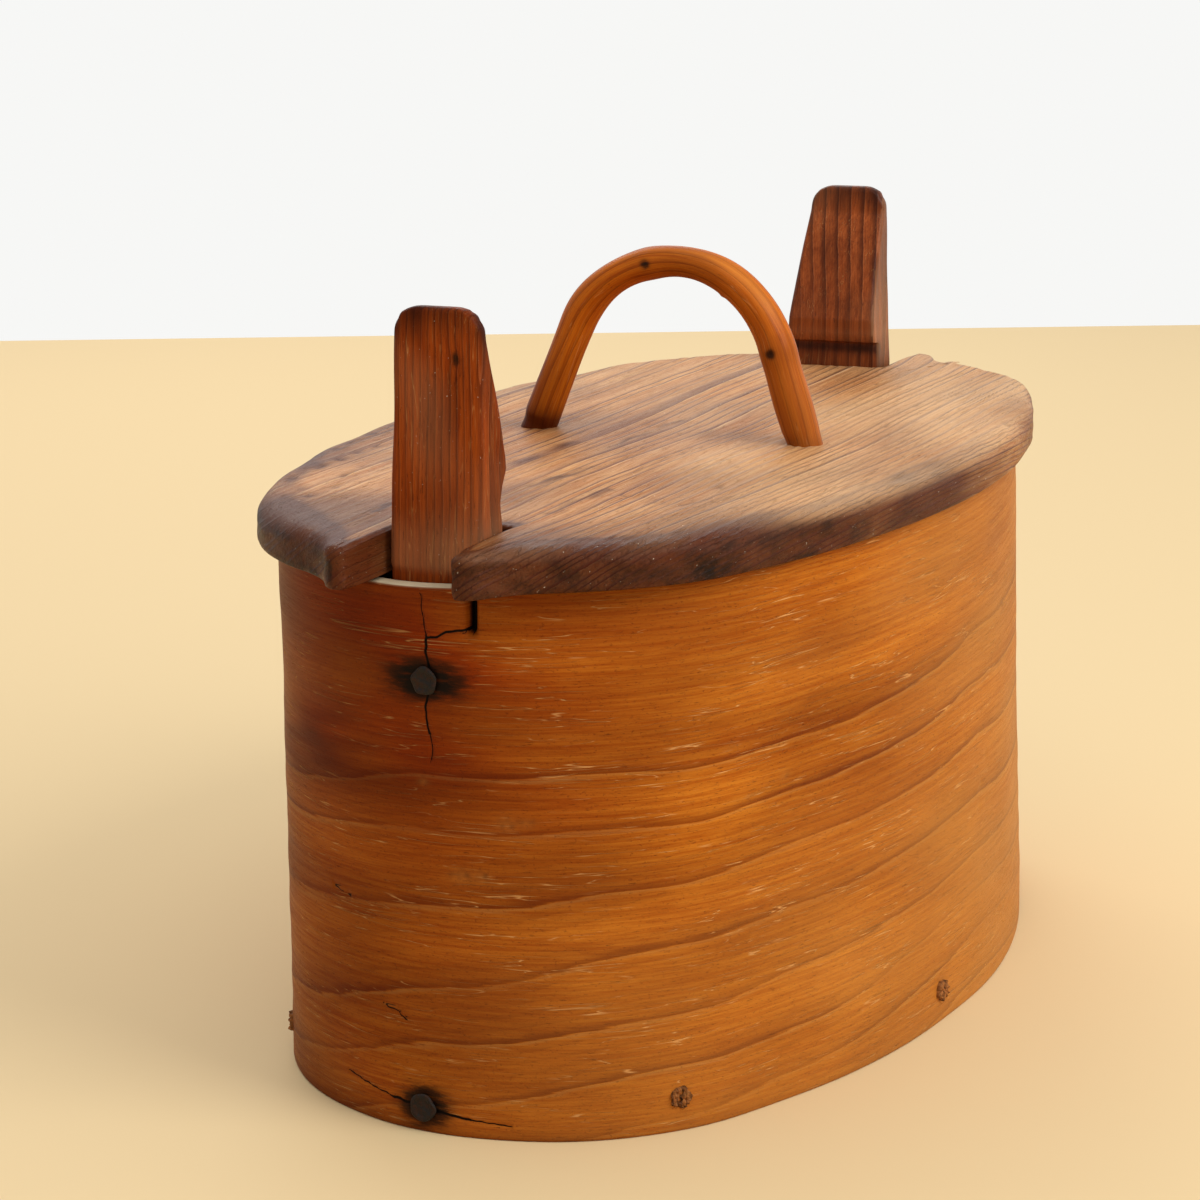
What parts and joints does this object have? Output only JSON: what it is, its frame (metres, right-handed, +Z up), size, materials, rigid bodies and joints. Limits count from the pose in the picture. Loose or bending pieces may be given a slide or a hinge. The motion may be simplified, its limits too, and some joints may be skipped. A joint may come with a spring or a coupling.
{
  "type": "lidded bentwood box",
  "caption": "Oval bentwood box with a notched lid held down between two springy lipped posts, and a bent stick handle.",
  "frame": {"origin": "middle of the box at the surface that it stands on", "axes": "+Z up; +X along the oval, from the near post to the far post; +Y across it, towards the laced seam at the back"},
  "size_m": [0.291, 0.1617, 0.1825],
  "materials": {
    "band_wood": "old amber varnish",
    "board_wood": "dull, darkened with age",
    "peg_wood": "dull, darkened end grain",
    "post_wood": "dark varnish over straight grain",
    "lid_wood": "worn and faded, with raised grain",
    "stick_wood": "glossy varnish over peeled bark",
    "lacing_root": "split root, dark with age",
    "nail_iron": "rust-blackened"
  },
  "bodies": {
    "root": {"side_band": "band_wood", "seam_lacing_near": "lacing_root", "seam_lacing_far": "lacing_root", "bottom_board": "board_wood", "peg_front_near": "peg_wood", "peg_back_near": "peg_wood", "peg_front_far": "peg_wood", "peg_back_far": "peg_wood", "peg_front_middle": "peg_wood", "peg_back_middle": "peg_wood", "near_lower_nail": "nail_iron", "far_lower_nail": "nail_iron"},
    "near_post": {"near_post": "post_wood", "near_upper_nail": "nail_iron"},
    "far_post": {"far_post": "post_wood", "far_upper_nail": "nail_iron"},
    "lid": {"lid_board": "lid_wood", "handle": "stick_wood", "left_handle_wedge": "peg_wood", "right_handle_wedge": "peg_wood"}
  },
  "joints": [
    {"name": "lid_lift", "type": "slide", "parent": "root", "child": "lid", "axis": [0, 0, 1], "range_m": [0, 0.065]},
    {"name": "near_post_flex", "type": "hinge", "parent": "root", "child": "near_post", "pos_m": [-0.12775, 0, 0.0065], "axis": [0, -1, 0], "range_deg": [0, 2], "stiffness_Nm_per_rad": 10, "deforming": ["near_post"]},
    {"name": "far_post_flex", "type": "hinge", "parent": "root", "child": "far_post", "pos_m": [0.12775, 0, 0.0065], "axis": [0, 1, 0], "range_deg": [0, 2], "stiffness_Nm_per_rad": 10, "deforming": ["far_post"]}
  ]
}
